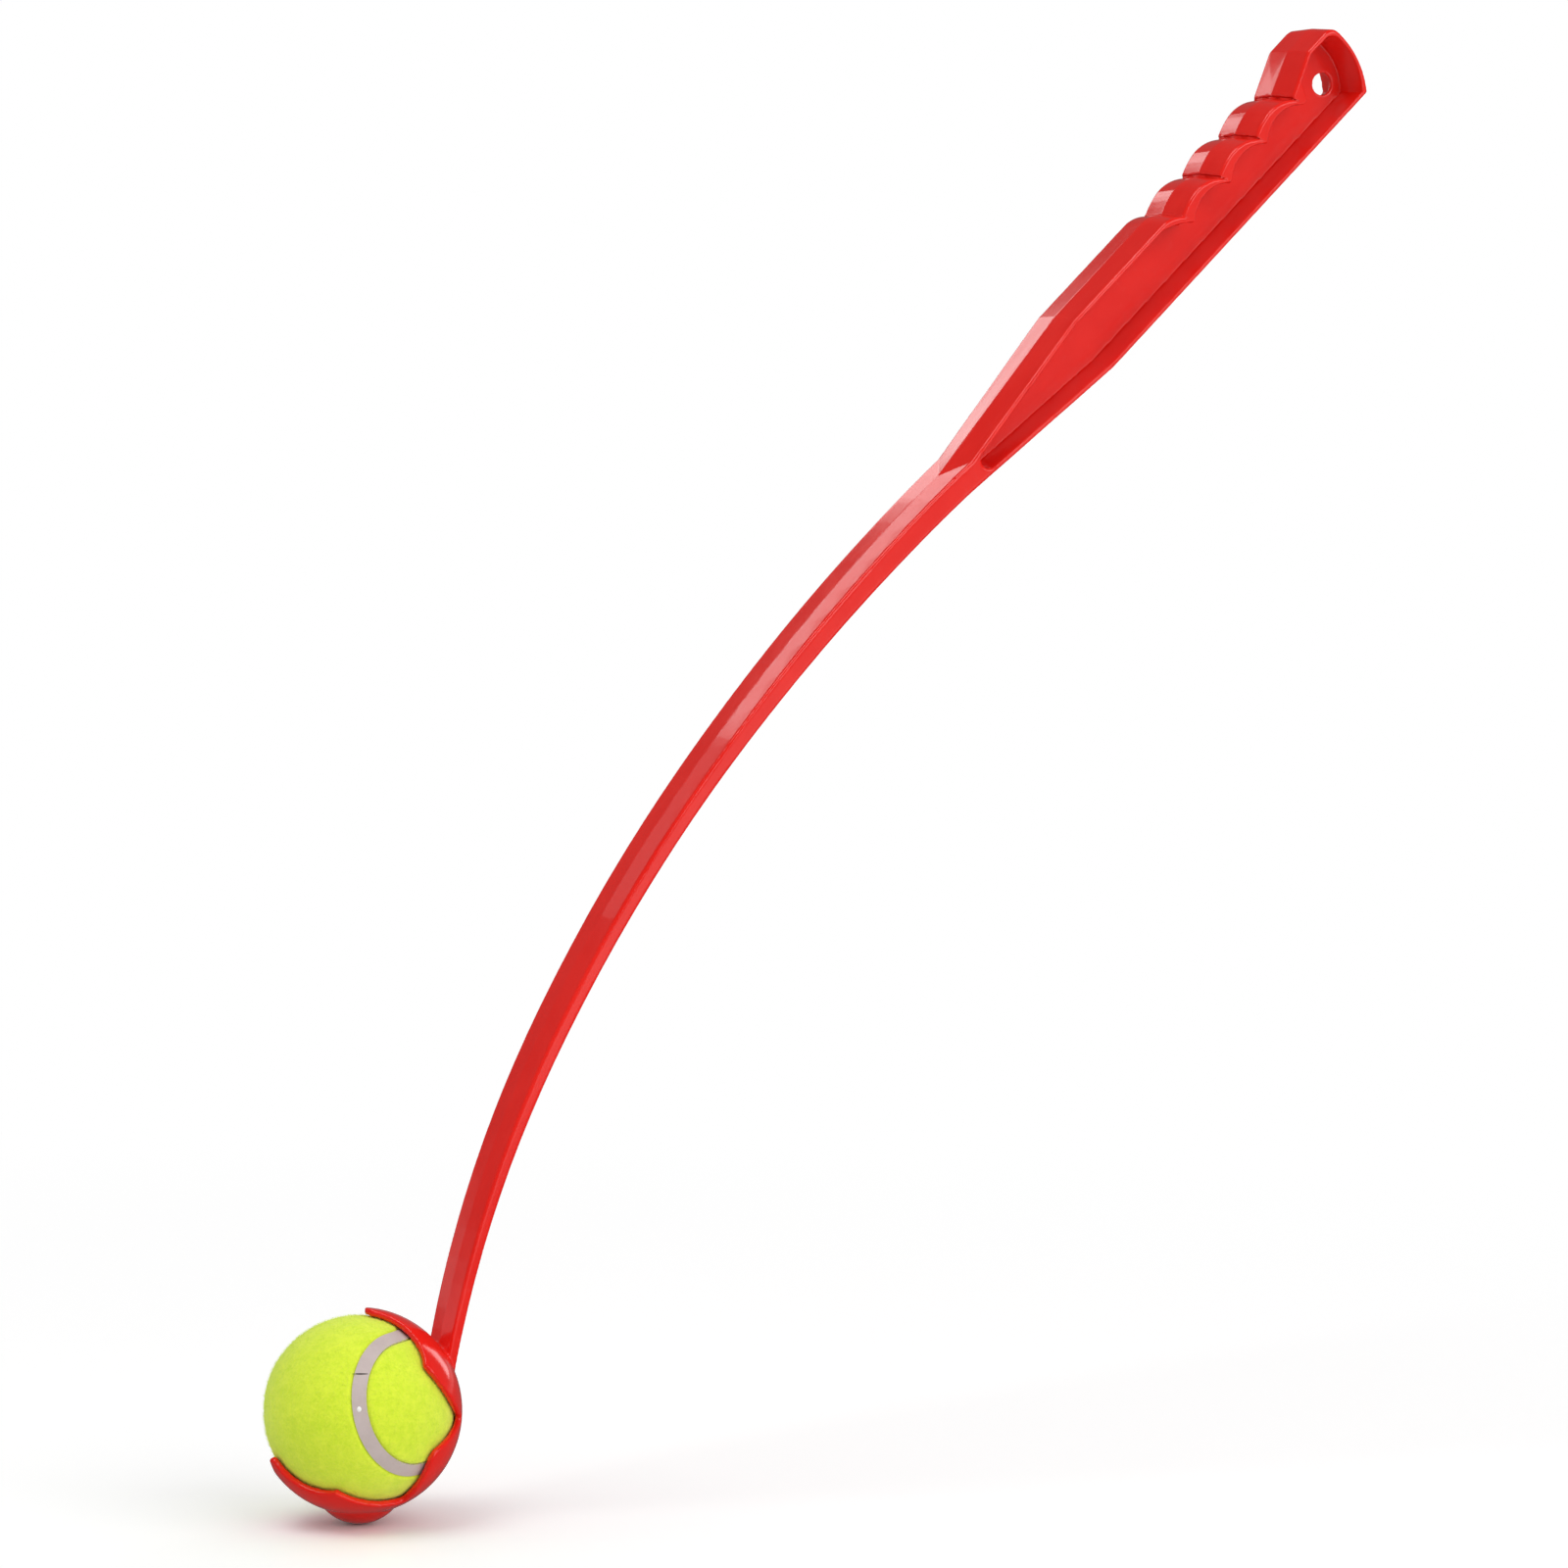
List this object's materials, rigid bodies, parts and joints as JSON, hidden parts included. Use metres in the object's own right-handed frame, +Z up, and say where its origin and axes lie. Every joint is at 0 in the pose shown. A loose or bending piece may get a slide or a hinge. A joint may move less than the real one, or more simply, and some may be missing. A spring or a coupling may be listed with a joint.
{
  "type": "dog ball thrower",
  "caption": "Springy plastic ball thrower for dogs with a channelled finger grip, a curved shaft and a clawed cup, shown with a felt ball in the cup.",
  "frame": {"origin": "centre of the hang hole, in the middle of the grip's web", "axes": "+Y along the hang hole, away from the near side; +Z up with the thrower as pictured, grip at the top right and cup at the bottom left; +X to the right"},
  "size_m": [0.4229, 0.065, 0.5098],
  "materials": {
    "red_plastic": "glossy moulded polypropylene, bright red",
    "core_rubber": "matt moulded rubber, unseen under the felt",
    "yellow_felt": "fuzzy optic yellow felt",
    "seam_rubber": "matt pale grey vulcanised seam"
  },
  "bodies": {
    "thrower": {"handle": "red_plastic", "shaft": "red_plastic", "cup_bowl": "red_plastic"},
    "upper_claw": {"upper_claw": "red_plastic"},
    "lower_claw": {"lower_claw": "red_plastic"},
    "ball": {"ball_core_left": "core_rubber", "ball_core_right": "core_rubber", "felt_panel_left": "yellow_felt", "felt_panel_right": "yellow_felt", "ball_seam": "seam_rubber"}
  },
  "joints": [
    {"name": "ball_release", "type": "slide", "parent": "thrower", "child": "ball", "axis": [-0.809, 0, 0.5878], "range_m": [0, 0.06], "deforming": ["upper_claw", "lower_claw"]},
    {"name": "upper_claw_flex", "type": "hinge", "parent": "thrower", "child": "upper_claw", "pos_m": [-0.3569, 0, -0.4228], "axis": [0, 1, 0], "range_deg": [0, 14.5], "stiffness_Nm_per_rad": 1.2},
    {"name": "lower_claw_flex", "type": "hinge", "parent": "thrower", "child": "lower_claw", "pos_m": [-0.3983, 0, -0.4797], "axis": [0, -1, 0], "range_deg": [0, 14.5], "stiffness_Nm_per_rad": 1.2}
  ]
}
